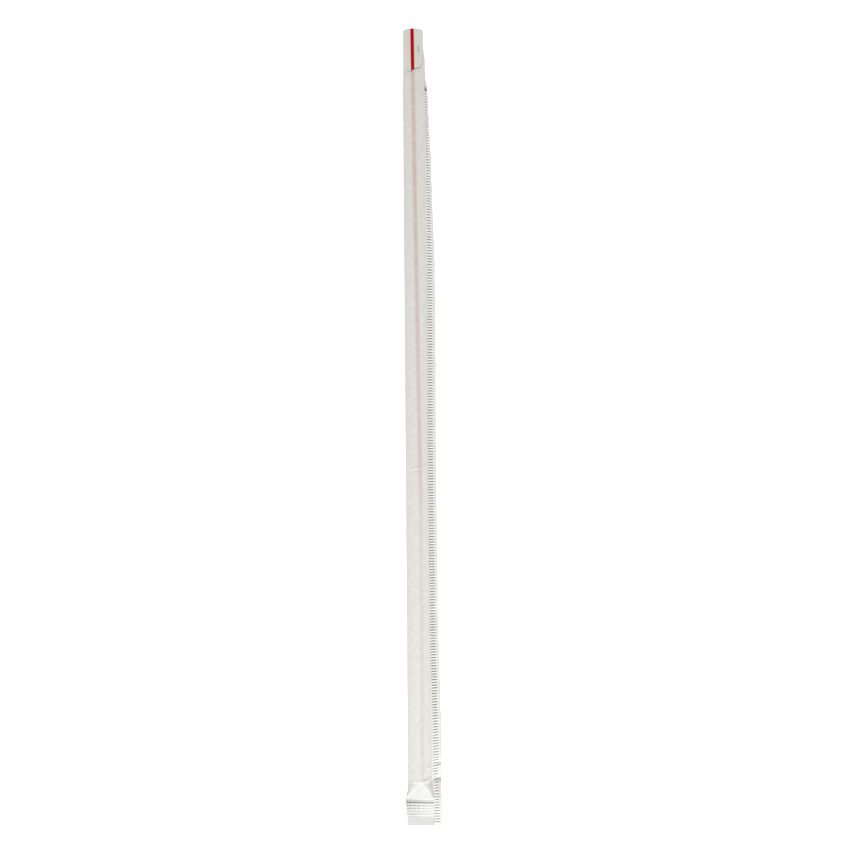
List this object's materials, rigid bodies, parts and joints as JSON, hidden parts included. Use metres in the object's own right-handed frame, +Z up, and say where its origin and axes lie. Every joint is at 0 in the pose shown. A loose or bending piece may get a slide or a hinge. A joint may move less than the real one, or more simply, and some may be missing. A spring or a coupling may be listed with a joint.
{
  "type": "wrapped drinking straw",
  "caption": "Straight plastic drinking straw with a coloured stripe, lying in a thin paper wrapper that is torn open at one end and has a knurled side seam and a flat knurled end seal.",
  "frame": {"origin": "on the table, under the middle of the box of the whole object as it lies on its side", "axes": "+Y along the straw towards its open mouth, +X towards the side seam, +Z up from the table"},
  "size_m": [0.0098, 0.209, 0.0059],
  "materials": {
    "striped_plastic": "smooth extruded polypropylene, slightly milky, with one red stripe along it",
    "wrapping_paper": "thin uncoated white paper, matt, with knurled seams"
  },
  "bodies": {
    "root": {"straw": "striped_plastic", "paper_wrapper": "wrapping_paper"}
  },
  "joints": []
}
